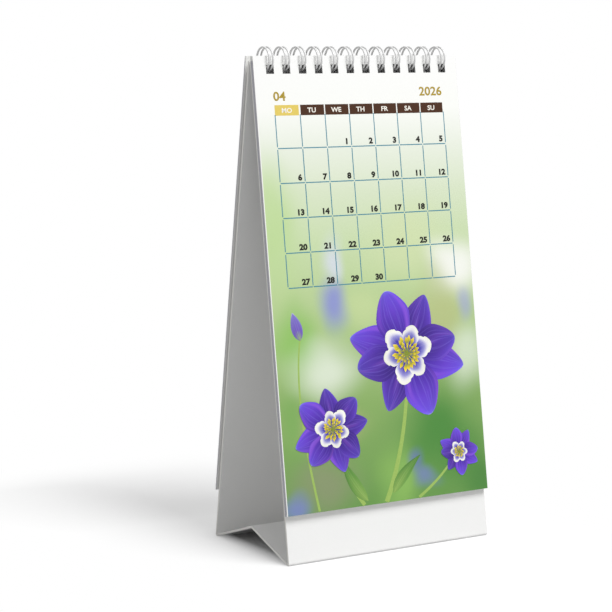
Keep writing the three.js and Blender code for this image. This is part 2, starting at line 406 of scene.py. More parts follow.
for name in PRINTED_LEAVES:
    nodes[name].data.materials.clear()
    nodes[name].data.materials.append(make_printed_paper(f"printed_art_paper_{name[5:]}", pages[name]))
print("printed leaves:", ", ".join(PRINTED_LEAVES))

# %% [markdown]
# ## Inks
# Letters, rules and blossoms are printed, so they are flat. Here each is a film of ink with its own crisp
# outline, 0.01 mm thick and lying 0.01 mm above the paper: thin enough to read as print from any angle,
# and thick enough to be a closed solid. Offset ink has a slightly uneven density, drawn with a fine noise,
# and it soaks into the coating, so it shines less than bare paper.

# %% Make the plain inks
INK = 0.01
LAYER = 0.01
INK_SHEEN = 0.25
INK_ROUGHNESS = 0.45
INK_GRAIN = 0.8 * MM


def make_ink(name, hex_code, second_hex):
    """A printing ink whose density wavers between two close colours."""
    ink, tree = new_material(name)
    place = add_node(tree, "ShaderNodeTexCoord")
    density = add_node(tree, "ShaderNodeTexNoise",
                       {"Vector": (place, "Object"), "Scale": 1 / INK_GRAIN, "Detail": 2.0})
    color = add_node(tree, "ShaderNodeMix",
                     {"Factor": density, "A": linear(hex_code), "B": linear(second_hex)},
                     data_type="RGBA")
    finish_material(tree, (color, "Result"), INK_ROUGHNESS, Specular_IOR_Level=INK_SHEEN)
    return ink


inks = {
    "gold": make_ink("offset_ink_gold", "#a58d2e", "#b59c3c"),
    "straw": make_ink("offset_ink_straw", "#dcc257", "#e8d272"),
    "brown": make_ink("offset_ink_brown", "#3d210d", "#4a2a13"),
    "rule": make_ink("offset_ink_steel_blue", "#3f8196", "#5390a4"),
    "black": make_ink("offset_ink_black", "#161713", "#23241e"),
    "letter": make_ink("unprinted_letter_white", "#f6f2e6", "#fbf8f0"),
    "stem": make_ink("offset_ink_stem_green", "#a9c56a", "#8fb357"),
}
print("plain inks:", ", ".join(inks))

# %% [markdown]
# ## Petal inks
# A petal runs from a dark, wine-tinted base through violet-blue to a pale tip, with fine veins along it.
# Its colour follows its own UV map: U goes across the petal and V from the base to the tip. Each petal of a
# blossom also carries a number, `shade`, that makes it a little lighter or darker than the next.

# %% Describe a petal's ink
# How often the soft folds and the veins repeat across a petal and along it
FOLDS = (3.0, 0.7, 1.0)
VEINS = (18.0, 1.0, 1.0)
# How much one side of a petal is lighter than the other
SIDE_LIGHT = 0.3
BLUSH_SHARE = 0.6


def make_petal_ink(name, ramp_colors, rim, vein_hex, vein_amount, levels=(0.78, 1.14), blush=None):
    """Ink along a petal. rim says how far the colours of the tip run down both sides.

    blush is a second hue that comes and goes with the petal's soft folds."""
    ink, tree = new_material(name)
    place = add_node(tree, "ShaderNodeUVMap", uv_map="petal")
    axes = add_node(tree, "ShaderNodeSeparateXYZ", {"Vector": place})
    aside = add_node(tree, "ShaderNodeMath", {0: (axes, "X"), 1: 2.0, 2: -1.0}, operation="MULTIPLY_ADD")
    square = add_node(tree, "ShaderNodeMath", {0: aside, 1: aside}, operation="MULTIPLY")
    along = add_node(tree, "ShaderNodeMath", {0: square, 1: rim, 2: (axes, "Y")},
                     operation="MULTIPLY_ADD")
    ramp = add_node(tree, "ShaderNodeValToRGB", {"Fac": along})
    set_ramp(ramp, [(position, linear(color)) for position, color in ramp_colors])
    shade = add_node(tree, "ShaderNodeAttribute", attribute_name="shade")
    fold_place = add_node(tree, "ShaderNodeMapping", {"Vector": place, "Scale": FOLDS})
    moved = add_node(tree, "ShaderNodeVectorMath", {0: fold_place, 1: (shade, "Vector")}, operation="ADD")
    folds = add_node(tree, "ShaderNodeTexNoise", {"Vector": moved, "Scale": 1.0, "Detail": 1.0})
    hued = (ramp, "Color")
    if blush:
        share = add_node(tree, "ShaderNodeMapRange",
                         {"Value": folds, "From Min": 0.48, "From Max": 0.68, "To Max": BLUSH_SHARE},
                         interpolation_type="SMOOTHSTEP")
        mixed = add_node(tree, "ShaderNodeMix",
                         {"Factor": share, "A": hued, "B": linear(blush)}, data_type="RGBA")
        hued = (mixed, "Result")
    turned = add_node(tree, "ShaderNodeMath", {0: aside, 1: SIDE_LIGHT, 2: folds}, operation="MULTIPLY_ADD")
    mood = add_node(tree, "ShaderNodeMath", {0: (shade, "Fac"), 1: turned}, operation="ADD")
    level = add_node(tree, "ShaderNodeMapRange",
                     {"Value": mood, "From Min": 0.4, "From Max": 1.6,
                      "To Min": levels[0], "To Max": levels[1]})
    toned = add_node(tree, "ShaderNodeVectorMath", {0: hued, "Scale": (level, "Result")},
                     operation="SCALE")
    fan = add_node(tree, "ShaderNodeMapping", {"Vector": place, "Scale": VEINS})
    streak = add_node(tree, "ShaderNodeTexNoise", {"Vector": fan, "Scale": 1.0, "Detail": 3.0})
    vein = add_node(tree, "ShaderNodeMapRange",
                    {"Value": streak, "From Min": 0.5, "From Max": 0.75, "To Max": vein_amount})
    veined = add_node(tree, "ShaderNodeMix",
                      {"Factor": vein, "A": (toned, "Vector"), "B": linear(vein_hex)}, data_type="RGBA")
    finish_material(tree, (veined, "Result"), INK_ROUGHNESS, Specular_IOR_Level=INK_SHEEN)
    return ink


# %% Mix the petal inks
VIOLET = ((0.0, "#24145f"), (0.25, "#46289a"), (0.5, "#5f3cbc"), (0.78, "#6449cc"), (0.95, "#6f66da"),
          (1.0, "#c3c9f6"))
CREAM = ((0.0, "#2f2285"), (0.36, "#4b3fae"), (0.52, "#9a97d6"), (0.66, "#eceaf2"), (0.8, "#fbfbf1"),
         (1.0, "#f4f5e4"))
ANTHER = ((0.0, "#7f9230"), (0.5, "#a9a637"), (0.64, "#e3c92f"), (1.0, "#fbee75"))
LEAF = ((0.0, "#9abf62"), (0.5, "#6b9f4a"), (1.0, "#4c8338"))
BUD = ((0.0, "#9fb870"), (0.25, "#7a63c8"), (0.8, "#8f86dc"), (1.0, "#d5d8f8"))
petal_ink = make_petal_ink("offset_ink_petal_violet", VIOLET, 0.06, "#8f7cec", 0.4,
                           levels=(0.62, 1.36), blush="#8350c4")
cream_ink = make_petal_ink("offset_ink_petal_cream", CREAM, 0.32, "#d8d6ee", 0.25, levels=(0.9, 1.04))
anther_ink = make_petal_ink("offset_ink_anther", ANTHER, 0.0, "#fff6a8", 0.2)
inks["leaf"] = make_petal_ink("offset_ink_leaf_green", LEAF, 0.3, "#a8cc7c", 0.5)
inks["bud"] = make_petal_ink("offset_ink_bud_lilac", BUD, 0.2, "#b9b4f0", 0.4)
veined_inks = (petal_ink, cream_ink, anther_ink, inks["leaf"], inks["bud"])
print("inks with veins:", ", ".join(ink.name for ink in veined_inks))

# %% [markdown]
# ## Shapes that repeat
# A blossom is a ring of petals, and then a ring of smaller ones, and then a ring of stamens. A month is a
# row of heading cells and a grid of date cells. So two trees of Geometry Nodes make nearly all the print:
# one sets copies of a shape around a middle, and one sets them out in rows and columns. Both end by
# making the copies real and giving them their ink.

# %% Helpers that build a shape and evaluate a tree
def closed_sheet(name, rows):
    """A film of ink from rows of points, closed below and all round, with U and V on its top."""
    shape = bmesh.new()
    uv = shape.loops.layers.uv.new("petal")
    across, along = len(rows[0]), len(rows)
    levels = [[[shape.verts.new((x, y, z)) for x, y in row] for row in rows] for z in (0.0, INK)]
    places = {v: (i / (across - 1), j / (along - 1))
              for level in levels for j, row in enumerate(level) for i, v in enumerate(row)}
    for j in range(along - 1):
        for i in range(across - 1):
            for level, order in zip(levels, (-1, 1)):
                corners = [level[j][i], level[j][i + 1], level[j + 1][i + 1], level[j + 1][i]]
                shape.faces.new(corners[::order])
    low, high = levels
    rim = ([(0, i) for i in range(across)] + [(j, across - 1) for j in range(1, along)]
           + [(along - 1, i) for i in range(across - 2, -1, -1)] + [(j, 0) for j in range(along - 2, 0, -1)])
    for (j, i), (m, n) in zip(rim, rim[1:] + rim[:1]):
        shape.faces.new([low[j][i], low[m][n], high[m][n], high[j][i]])
    for face in shape.faces:
        for loop in face.loops:
            loop[uv].uv = places[loop.vert]
    bmesh.ops.remove_doubles(shape, verts=shape.verts, dist=1e-6)
    bmesh.ops.recalc_face_normals(shape, faces=shape.faces)
    mesh = bpy.data.meshes.new(name)
    shape.to_mesh(mesh)
    shape.free()
    return bpy.data.objects.new(name, mesh)


def new_tree(name, sockets):
    """A tree of Geometry Nodes with named inputs, its input node and a call that ends it."""
    tree = bpy.data.node_groups.new(name, "GeometryNodeTree")
    for socket, kind in sockets:
        tree.interface.new_socket(socket, in_out="INPUT", socket_type=f"NodeSocket{kind}")
    tree.interface.new_socket("Geometry", in_out="OUTPUT", socket_type="NodeSocketGeometry")
    return tree, add_node(tree, "NodeGroupInput")


def end_tree(tree, given, instances):
    """Makes the copies real, inks them and puts them out."""
    real = add_node(tree, "GeometryNodeRealizeInstances", {"Geometry": instances})
    inked = add_node(tree, "GeometryNodeSetMaterial", {"Geometry": real, "Material": (given, "Material")})
    add_node(tree, "NodeGroupOutput", {"Geometry": inked})


def run_tree(tree, values):
    """The plain mesh that the tree makes with these values."""
    holder = bpy.data.objects.new("holder", bpy.data.meshes.new("holder"))
    bpy.context.scene.collection.objects.link(holder)
    modifier = holder.modifiers.new("shape", "NODES")
    modifier.node_group = tree
    for item in tree.interface.items_tree:
        if item.in_out == "INPUT":
            modifier[item.identifier] = values[item.name]
    evaluated = holder.evaluated_get(bpy.context.evaluated_depsgraph_get())
    mesh = bpy.data.meshes.new_from_object(evaluated)
    bpy.data.objects.remove(holder)
    return mesh


# %% Build the tree that sets a shape around a middle
def make_ring_tree():
    tree, given = new_tree("ring of shapes", (
        ("Shape", "Object"), ("Count", "Int"), ("Size", "Float"), ("Turn", "Float"), ("Jitter", "Float"),
        ("Spread", "Float"), ("Layer", "Float"), ("Seed", "Int"), ("Material", "Material")))
    ring = add_node(tree, "GeometryNodeMeshCircle", {"Vertices": (given, "Count"), "Radius": 0.0001})
    number = add_node(tree, "GeometryNodeInputIndex")
    share = add_node(tree, "ShaderNodeMath", {0: number, 1: (given, "Count")}, operation="DIVIDE")
    angle = add_node(tree, "ShaderNodeMath", {0: share, 1: 2 * math.pi, 2: (given, "Turn")},
                     operation="MULTIPLY_ADD")
    wobble = add_node(tree, "FunctionNodeRandomValue", {"Min": -1.0, "Max": 1.0, "Seed": (given, "Seed")})
    turn = add_node(tree, "ShaderNodeMath", {0: wobble, 1: (given, "Jitter"), 2: angle},
                    operation="MULTIPLY_ADD")
    rotation = add_node(tree, "ShaderNodeCombineXYZ", {"Z": turn})
    least = add_node(tree, "ShaderNodeMath", {0: 1.0, 1: (given, "Spread")}, operation="SUBTRACT")
    length = add_node(tree, "FunctionNodeRandomValue",
                      {"Min": least, "Max": 1.0, "Seed": (given, "Seed")})
    size = add_node(tree, "ShaderNodeMath", {0: length, 1: (given, "Size")}, operation="MULTIPLY")
    scale = add_node(tree, "ShaderNodeCombineXYZ", {"X": size, "Y": size, "Z": 1.0})
    shape = add_node(tree, "GeometryNodeObjectInfo", {"Object": (given, "Shape")})
    copies = add_node(tree, "GeometryNodeInstanceOnPoints",
                      {"Points": ring, "Instance": (shape, "Geometry"), "Rotation": rotation,
                       "Scale": scale})
    climb = add_node(tree, "ShaderNodeMath", {0: number, 1: (given, "Layer")}, operation="MULTIPLY")
    lift = add_node(tree, "ShaderNodeCombineXYZ", {"Z": climb})
    lifted = add_node(tree, "GeometryNodeTranslateInstances", {"Instances": copies, "Translation": lift})
    tint = add_node(tree, "FunctionNodeRandomValue", {"Min": 0.0, "Max": 1.0, "Seed": (given, "Seed")})
    shaded = add_node(tree, "GeometryNodeStoreNamedAttribute",
                      {"Geometry": lifted, "Name": "shade", "Value": tint}, domain="INSTANCE")
    end_tree(tree, given, shaded)
    return tree


ring_tree = make_ring_tree()

# %% Build the tree that sets a bar out in rows and columns
def make_rows_tree():
    tree, given = new_tree("rows and columns", (
        ("Columns", "Int"), ("Rows", "Int"), ("Column Pitch", "Float"), ("Row Pitch", "Float"),
        ("Bar Width", "Float"), ("Bar Height", "Float"), ("Material", "Material")))
    column_gaps = add_node(tree, "ShaderNodeMath", {0: (given, "Columns"), 1: 1.0}, operation="SUBTRACT")
    row_gaps = add_node(tree, "ShaderNodeMath", {0: (given, "Rows"), 1: 1.0}, operation="SUBTRACT")
    width = add_node(tree, "ShaderNodeMath", {0: column_gaps, 1: (given, "Column Pitch")},
                     operation="MULTIPLY")
    height = add_node(tree, "ShaderNodeMath", {0: row_gaps, 1: (given, "Row Pitch")},
                      operation="MULTIPLY")
    grid = add_node(tree, "GeometryNodeMeshGrid",
                    {"Size X": width, "Size Y": height, "Vertices X": (given, "Columns"),
                     "Vertices Y": (given, "Rows")})
    size = add_node(tree, "ShaderNodeCombineXYZ",
                    {"X": (given, "Bar Width"), "Y": (given, "Bar Height"), "Z": INK})
    bar = add_node(tree, "GeometryNodeMeshCube", {"Size": size})
    copies = add_node(tree, "GeometryNodeInstanceOnPoints", {"Points": grid, "Instance": bar})
    end_tree(tree, given, copies)
    return tree


rows_tree = make_rows_tree()
print("trees:", ring_tree.name, "and", rows_tree.name)

# %% [markdown]
# ## The month's table
# The heading is a row of seven cells with thin gaps, the first in straw and the rest in dark brown. Below
# it a grid of fine steel-blue rules makes five rows of cells, or six when the month needs them. Each
# vertical rule stops just short of the row lines, as the printed ones do. The dates stand in the lower
# right corners.

# %% Set out the table on the page
COLUMNS = 7
TABLE_LEFT, TABLE_RIGHT = -46.0, 45.4
HEAD_TOP, HEAD_BOTTOM = -22.0, -26.7
FIRST_ROW = -41.3
ROW = 15.55
CELL_GAP = 0.6
RULE = 0.46
# How far the upright rules stop short of the row lines, and the row lines of each other
UPRIGHT_STOP, LINE_STOP = 1.2, 0.5
COLUMN = (TABLE_RIGHT - TABLE_LEFT) / COLUMNS
WEEKDAYS = ("MO", "TU", "WE", "TH", "FR", "SA", "SU")


def bars(columns, rows, pitch, size, middle, ink):
    """Printed bars in rows and columns about a middle, with the matrix that lays them on the page."""
    mesh = run_tree(rows_tree, {
        "Columns": columns, "Rows": rows, "Column Pitch": pitch[0], "Row Pitch": pitch[1],
        "Bar Width": size[0], "Bar Height": size[1], "Material": inks[ink]})
    return mesh, Matrix.Translation((*middle, LAYER + INK / 2))


def table_bars(rows):
    head = (HEAD_TOP + HEAD_BOTTOM) / 2
    cell = (COLUMN - CELL_GAP, HEAD_TOP - HEAD_BOTTOM)
    row_middle = FIRST_ROW - (rows - 1) / 2 * ROW
    rule_middle = row_middle + ROW / 2
    return [
        bars(1, 1, (0, 0), cell, (TABLE_LEFT + COLUMN / 2, head), "straw"),
        bars(COLUMNS - 1, 1, (COLUMN, 0), cell, (COLUMN / 2, head), "brown"),
        bars(COLUMNS + 1, rows, (COLUMN, ROW), (RULE, ROW - UPRIGHT_STOP), (0, rule_middle), "rule"),
        bars(COLUMNS, rows, (COLUMN, ROW), (COLUMN - LINE_STOP, RULE), (0, row_middle), "rule"),
    ]


# %% Set lettering
LETTER_WIDTH = 1.15
# The height of a capital, as a share of the font's size
CAPITAL_SHARE = 0.73
YEAR = "2026"
TITLE_HEIGHT, WEEKDAY_HEIGHT, DATE_HEIGHT = 4.1, 2.2, 2.6
TITLE_WEIGHT, WEEKDAY_WEIGHT, DATE_WEIGHT = 0.12, 0.07, 0.19
MONTH_FOOT, YEAR_FOOT = -20.0, -18.6
YEAR_RIGHT = TABLE_RIGHT + 0.2
WEEKDAY_FOOT = HEAD_BOTTOM + 1.25
DATE_INSET = 1.2


def lettering(text, height, weight, place, ink, align="LEFT"):
    """Plain letters of the given capital height in mm, as a closed film of ink, and their matrix."""
    curve = bpy.data.curves.new("lettering", "FONT")
    curve.body = text
    curve.align_x = align
    curve.size = height / CAPITAL_SHARE
    curve.offset = weight
    curve.extrude = INK / 2
    curve.resolution_u = 3
    holder = bpy.data.objects.new("lettering", curve)
    bpy.context.scene.collection.objects.link(holder)
    evaluated = holder.evaluated_get(bpy.context.evaluated_depsgraph_get())
    mesh = bpy.data.meshes.new_from_object(evaluated)
    mesh.materials.clear()
    mesh.materials.append(inks[ink])
    bpy.data.objects.remove(holder)
    wider = Matrix.Diagonal((LETTER_WIDTH, 1, 1, 1))
    return mesh, Matrix.Translation((place[0], place[1], 2 * LAYER + INK)) @ wider


def table_letters(month, first_column, days):
    parts = [
        lettering(month, TITLE_HEIGHT, TITLE_WEIGHT, (TABLE_LEFT, MONTH_FOOT), "gold"),
        lettering(YEAR, TITLE_HEIGHT, TITLE_WEIGHT, (YEAR_RIGHT, YEAR_FOOT), "gold", "RIGHT"),
    ]
    for column, weekday in enumerate(WEEKDAYS):
        middle = TABLE_LEFT + (column + 0.5) * COLUMN
        parts.append(lettering(weekday, WEEKDAY_HEIGHT, WEEKDAY_WEIGHT, (middle, WEEKDAY_FOOT), "letter",
                               "CENTER"))
    for day in range(days):
        row, column = divmod(first_column + day, COLUMNS)
        right = TABLE_LEFT + (column + 1) * COLUMN - DATE_INSET
        foot = FIRST_ROW - row * ROW + DATE_INSET
        parts.append(lettering(str(day + 1), DATE_HEIGHT, DATE_WEIGHT, (right, foot), "black", "RIGHT"))
    return parts


# %% [markdown]
# ## Blossoms
# The picture is a spray of open meadow blossoms: eight violet-blue petals in two turns of four, a ring of
# short cream petals inside, and a dense boss of yellow stamens. Each shape is a film between two mirrored
# curves, its half width given by a formula, with more points near its tip, where it turns quickly. `bow`
# draws the sides of a blunt tip back into a round end, and `sway` bends the whole shape to one side.

# %% Make the shapes of a blossom
# Above 1, a film has more rows of points near its tip than near its base
TIP_CROWDING = 1.7


def film(name, half_width, bow, sway=0.0, steps=16, across=9):
    """A shape one unit long along Y, from its half width at each distance along it."""
    rows = []
    for j in range(steps + 1):
        v = 1 - (1 - j / steps) ** TIP_CROWDING
        row = []
        for i in range(across):
            u = 2 * i / (across - 1) - 1
            row.append((half_width(v) * u + sway * v * v, v * (1 - bow * u * u * v * v)))
        rows.append(row)
    return closed_sheet(name, rows)


def petal(width, widest, point):
    """The half width of a petal along its length. A larger point makes its tip sharper."""
    def half_width(v):
        rise = max(math.sin(math.pi * v ** widest), 0.0)
        ripple = 1 + 0.03 * math.sin(13 * v)
        return 0.004 + 0.03 * (1 - v) + width * ripple * rise ** (0.9 - 0.9 * v + point * v)
    return half_width


def cupped(v):
    return 0.05 + 0.30 * math.sin(math.pi * min(v, 0.86) ** 1.6) ** 0.7


def club(v):
    return 0.02 + 0.10 * math.exp(-((v - 0.80) / 0.16) ** 2)


broad_petal = film("broad_petal", petal(0.29, 1.25, 0.62), 0.0, 0.07, steps=26)
slender_petal = film("slender_petal", petal(0.25, 1.1, 0.72), 0.0, -0.09, steps=26)
cream_petal = film("cream_petal", cupped, 0.16)
stamen = film("stamen", club, 0.05, steps=12, across=5)
closed_bud = film("closed_bud", lambda v: 0.02 + 0.2 * math.sin(math.pi * v ** 0.8) ** 0.9, 0.02)
green_leaf = film("green_leaf", lambda v: 0.01 + 0.12 * math.sin(math.pi * v ** 0.75), 0.0, 0.2)
shapes = (broad_petal, slender_petal, cream_petal, stamen, closed_bud, green_leaf)
print("shapes:", ", ".join(shape.name for shape in shapes))


# %% Put a blossom together
PETAL_STEP = 0.0025
STAMEN_STEP = 0.0004


def blossom(x, y, size, turn, seed, layer):
    """Rings about one middle, each lying on the one before: petals, cream petals and stamens.

    Each ring: its shape, count, length, turn, jitter of the turn, spread of the length, step up from one
    copy to the next, and ink."""
    rings = (
        (slender_petal, 4, size, turn + 0.78, 0.14, 0.16, PETAL_STEP, petal_ink),
        (broad_petal, 4, 0.96 * size, turn, 0.12, 0.14, PETAL_STEP, petal_ink),
        (cream_petal, 6, 0.46 * size, turn + 0.4, 0.10, 0.16, PETAL_STEP, cream_ink),
        (stamen, 20, 0.27 * size, turn, 0.10, 0.22, STAMEN_STEP, anther_ink),
        (stamen, 15, 0.18 * size, turn, 0.12, 0.25, STAMEN_STEP, anther_ink),
        (stamen, 9, 0.11 * size, turn, 0.2, 0.3, STAMEN_STEP, anther_ink),
    )
    parts = []
    height = layer
    for shape, count, length, angle, jitter, spread, step, ink in rings:
        mesh = run_tree(ring_tree, {
            "Shape": shape, "Count": count, "Size": length, "Turn": angle, "Jitter": jitter,
            "Spread": spread, "Layer": step, "Seed": seed, "Material": ink})
        parts.append((mesh, Matrix.Translation((x, y, height))))
        height += count * step + INK + step
    return parts


def stem(points, width, layer, steps=20):
    """A curved stem through three points, slightly thicker at its foot."""
    (x0, y0), (x1, y1), (x2, y2) = points
    rows = []
    for j in range(steps + 1):
        t = j / steps
        x = (1 - t) ** 2 * x0 + 2 * t * (1 - t) * x1 + t * t * x2
        y = (1 - t) ** 2 * y0 + 2 * t * (1 - t) * y1 + t * t * y2
        slope = Vector((2 * (1 - t) * (x1 - x0) + 2 * t * (x2 - x1),
                        2 * (1 - t) * (y1 - y0) + 2 * t * (y2 - y1))).normalized()
        half = width * (0.35 + 0.25 * t)
        rows.append([(x - slope.y * half * s, y + slope.x * half * s) for s in (1, 0, -1)])
    made = closed_sheet("stem", rows)
    mesh = made.data
    bpy.data.objects.remove(made)
    mesh.materials.append(inks["stem"])
    return mesh, Matrix.Translation((0, 0, layer))


def single(shape, x, y, size, turn, layer, ink):
    """One bud or green leaf by itself."""
    mesh = shape.data.copy()
    mesh.materials.append(inks[ink])
    grown = Matrix.Diagonal((size, size, 1, 1))
    return mesh, Matrix.Translation((x, y, layer)) @ Matrix.Rotation(turn, 4, "Z") @ grown


# %% [markdown]
# ## Laying the print on each leaf
# Each printed leaf gets two pieces: its table and its spray. All meshes of a piece are gathered into one,
# with every ink kept, and moved from the page to the leaf.

# %% Gather meshes into one piece
def gather(name, parts, page):
    """One object from many meshes, each with its own matrix on the page."""
    whole = bmesh.new()
    whole.loops.layers.uv.new("petal")
    whole.verts.layers.float.new("shade")
    used = []
    for mesh, place in parts:
        first = len(whole.faces)
        mesh.transform(page @ place)
        whole.from_mesh(mesh)
        whole.faces.ensure_lookup_table()
        for face in whole.faces[first:]:
            ink = mesh.materials[face.material_index]
            if ink not in used:
                used.append(ink)
            face.material_index = used.index(ink)
        bpy.data.meshes.remove(mesh)
    mesh = bpy.data.meshes.new(name)
    whole.to_mesh(mesh)
    whole.free()
    for ink in used:
        mesh.materials.append(ink)
    piece = bpy.data.objects.new(name, mesh)
    bpy.context.scene.collection.objects.link(piece)
    return piece


# %% Draw the spray
def spray():
    foot = -203.6
    low, flower, high = LAYER, 4 * LAYER, 16 * LAYER
    parts = [
        stem(((-28, -167), (-27, -186), (-14, foot)), 1.6, low),
        stem(((15, -137), (13, -175), (-2, foot)), 2.1, 2 * low),
        stem(((40, -183), (33, -194), (16, foot)), 1.2, low),
        stem(((-41, -124), (-48, -150), (-38, foot)), 1.0, low),
        single(closed_bud, -41.5, -127, 13, 0.25, 2 * low, "bud"),
        single(green_leaf, -12, -202, 24, 0.75, 2 * low, "leaf"),
        single(green_leaf, 2, -200, 22, -0.6, 3 * low, "leaf"),
    ]
    parts += blossom(15, -137, 33, 0.35, 4, flower)
    parts += blossom(-28, -168, 22, 0.95, 7, high)
    parts += blossom(40, -185, 12, 0.1, 12, high)
    return parts



# %% Print the three months
# Each month: its leaf, the body that the leaf belongs to, its number, the column of its first day, its days
months = (
    ("leaf_april", "leaf_on_show", "04", 2, 30),
    ("leaf_may", "front_panel", "05", 4, 31),
    ("leaf_march", "back_panel", "03", 6, 31),
)
for leaf, body, month, first_column, days in months:
    rows = -(-(first_column + days) // COLUMNS)
    letters = table_letters(month, first_column, days)
    table = gather(f"table_{leaf[5:]}", table_bars(rows) + letters, pages[leaf])
    flowers = gather(f"spray_{leaf[5:]}", spray(), pages[leaf])
    for piece in (table, flowers):
        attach(piece, body)
    print(leaf, "rows:", rows, "faces:", len(table.data.polygons) + len(flowers.data.polygons))
for shape in shapes:
    bpy.data.objects.remove(shape)

# %% [markdown]
# ## The twin-loop wire
# The binding is one steel wire in a white nylon coat. It runs along the back between the holes, turns up
# into a loop, comes round to a rounded tip that nests between the two wires of its own pair, goes back the
# same way and on to the next pair. One pair is drawn as a curve from a formula. The tree repeats it at
# each hole, sweeps a round section along it and welds the pairs into one wire.

# %% Draw one pair of the wire
LOOPS = 12
PITCH = 25.4 / 3
WIRE = 0.9
RING_RADIUS = 5.4
TWIN_SPACING = 2.0
LINK_CORNER = 1.2
TIP_OVERLAP = 0.55
WIRE_CLEARANCE = 0.25
CORNER_STEPS, RING_STEPS, TIP_STEPS = 8, 48, 12
WIRE_SIDES = 16


def pair_points():
    """The middle line of one pair, as X and the angle from straight down, up the front and over."""
    link_face = (BOARD_THICKNESS + CREASE_GAP / 2) / MM + WIRE_CLEARANCE + WIRE / 2
    link = -lean - math.asin(link_face / RING_RADIUS)
    half = TWIN_SPACING / 2
    start = link + LINK_CORNER / RING_RADIUS
    end = link + 2 * math.pi - (TIP_OVERLAP + half) / RING_RADIUS
    side = [(-PITCH / 2, link)]
    for step in range(CORNER_STEPS):
        turn = math.pi / 2 * step / CORNER_STEPS
        side.append((-half - LINK_CORNER * (1 - math.sin(turn)),
                     start - LINK_CORNER / RING_RADIUS * math.cos(turn)))
    side += [(-half, start + (end - start) * step / RING_STEPS) for step in range(RING_STEPS)]
    turns = [math.pi * step / TIP_STEPS for step in range(TIP_STEPS + 1)]
    tip = [(-half * math.cos(turn), end + half / RING_RADIUS * math.sin(turn)) for turn in turns]
    return side + tip + [(-x, angle) for x, angle in reversed(side)]


def pair_curve():
    curve = bpy.data.curves.new("wire_pair", "CURVE")
    curve.dimensions = "3D"
    points = pair_points()
    line = curve.splines.new("POLY")
    line.points.add(len(points) - 1)
    for point, (x, angle) in zip(line.points, points):
        point.co = (x, -RING_RADIUS * math.sin(angle), -RING_RADIUS * math.cos(angle), 1)
    return bpy.data.objects.new("wire_pair", curve)


# %% Repeat the pair and sweep the wire
def make_wire_tree():
    tree, given = new_tree("twin loop wire", (
        ("Pair", "Object"), ("Loops", "Int"), ("Pitch", "Float"), ("Wire", "Float"), ("Sides", "Int"),
        ("Material", "Material")))
    step = add_node(tree, "ShaderNodeCombineXYZ", {"X": (given, "Pitch")})
    holes = add_node(tree, "GeometryNodeMeshLine", {"Count": (given, "Loops"), "Offset": step})
    pair = add_node(tree, "GeometryNodeObjectInfo", {"Object": (given, "Pair")})
    pairs = add_node(tree, "GeometryNodeInstanceOnPoints",
                     {"Points": holes, "Instance": (pair, "Geometry")})
    lines = add_node(tree, "GeometryNodeRealizeInstances", {"Geometry": pairs})
    radius = add_node(tree, "ShaderNodeMath", {0: (given, "Wire"), 1: 0.5}, operation="MULTIPLY")
    section = add_node(tree, "GeometryNodeCurvePrimitiveCircle",
                       {"Resolution": (given, "Sides"), "Radius": radius})
    swept = add_node(tree, "GeometryNodeCurveToMesh", {"Curve": lines, "Profile Curve": (section, "Curve")})
    welded = add_node(tree, "GeometryNodeMergeByDistance", {"Geometry": swept, "Distance": 0.02})
    smooth = add_node(tree, "GeometryNodeSetShadeSmooth", {"Geometry": welded})
    end_tree(tree, given, smooth)
    return tree


def make_wire_coat():
    """Nylon coat on steel wire: smooth, white and glossy, with a faint orange-peel from the dip."""
    coat, tree = new_material("nylon_coated_wire")
    place = add_node(tree, "ShaderNodeTexCoord")
    ripple = add_node(tree, "ShaderNodeTexNoise", {"Vector": (place, "Object"), "Scale": 1 / (1.5 * MM)})
    color = add_node(tree, "ShaderNodeMix",
                     {"Factor": ripple, "A": linear("#dcdcdc"), "B": linear("#e4e4e4")}, data_type="RGBA")
    relief = add_node(tree, "ShaderNodeBump", {"Height": ripple, "Strength": 0.2, "Distance": 0.02 * MM})
    finish_material(tree, (color, "Result"), 0.22, relief)
    return coat


def make_wire():
    mesh = run_tree(make_wire_tree(), {
        "Pair": pair_curve(), "Loops": LOOPS, "Pitch": PITCH, "Wire": WIRE, "Sides": WIRE_SIDES,
        "Material": make_wire_coat()})
    shift = Matrix.Translation(fold_axis) @ Matrix.Scale(MM, 4)
    mesh.transform(shift @ Matrix.Translation((-(LOOPS - 1) / 2 * PITCH, 0, 0)))
    shape = bmesh.new()
    shape.from_mesh(mesh)
    bmesh.ops.holes_fill(shape, edges=shape.edges)
    bmesh.ops.recalc_face_normals(shape, faces=shape.faces)
    shape.to_mesh(mesh)
    shape.free()
    piece = bpy.data.objects.new("twin_loop_wire", mesh)
    bpy.context.scene.collection.objects.link(piece)
    return piece


wire = make_wire()
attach(wire, "back_panel")
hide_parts("wire_binding")
print("wire faces:", len(wire.data.polygons))

# %% [markdown]
# ## The base
# The base is the same board, creased along its middle into a low ridge. When the easel folds, the two
# halves stand up inside it and lie back to back. Each half is a strip of board from its foot crease to
# the ridge, cut on the slant there so that the two meet, with the upper corner of the crease rounded.

# %% Build the two halves of the base
RIDGE_RISE = 9.33 * MM
FOOT_CLEARANCE = 0.02 * MM
RIDGE_SEAM = 0.01 * MM
SOFT_EDGE = 0.08 * MM


